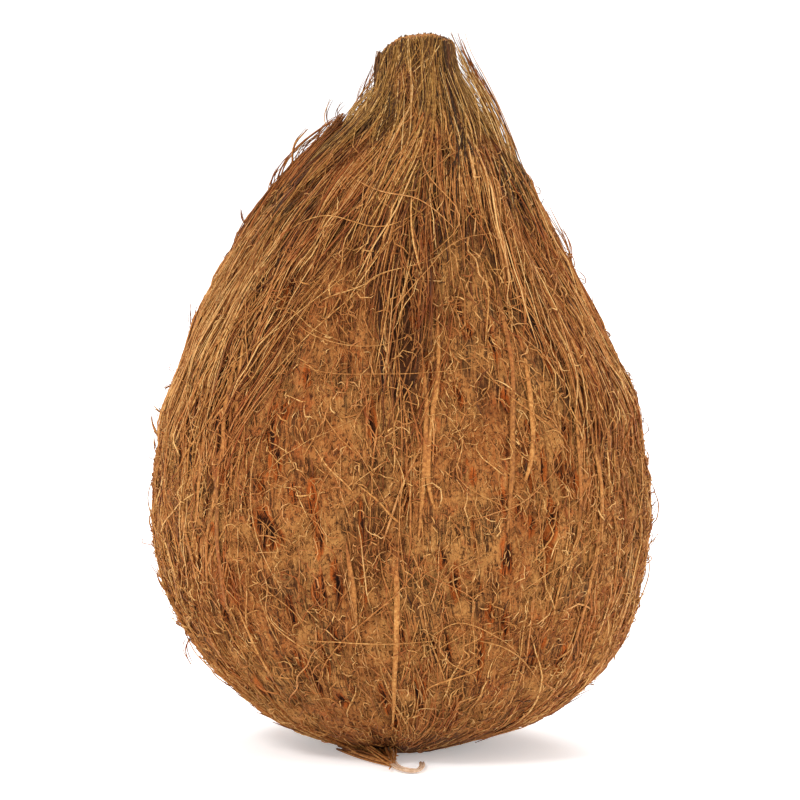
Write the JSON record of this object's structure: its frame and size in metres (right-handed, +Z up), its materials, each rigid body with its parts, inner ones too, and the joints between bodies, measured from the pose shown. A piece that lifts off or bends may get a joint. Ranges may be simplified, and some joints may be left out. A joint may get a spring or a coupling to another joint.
{
  "type": "coconut",
  "caption": "Part-husked brown coconut: a round nut in a close mat of coir, with its long fibres gathered into a cut tuft at the top. Stands on its blunt end.",
  "frame": {"origin": "middle of the small flat spot on the blunt end, which the coconut stands on", "axes": "+Z up from the blunt end to the cut tuft, -Y out of the side that faces the viewer, +X to the viewer's right"},
  "size_m": [0.1166, 0.1166, 0.1625],
  "materials": {
    "coir": "dry, matte coconut fibre over brown pith"
  },
  "bodies": {
    "root": {"coconut": "coir"}
  },
  "joints": []
}
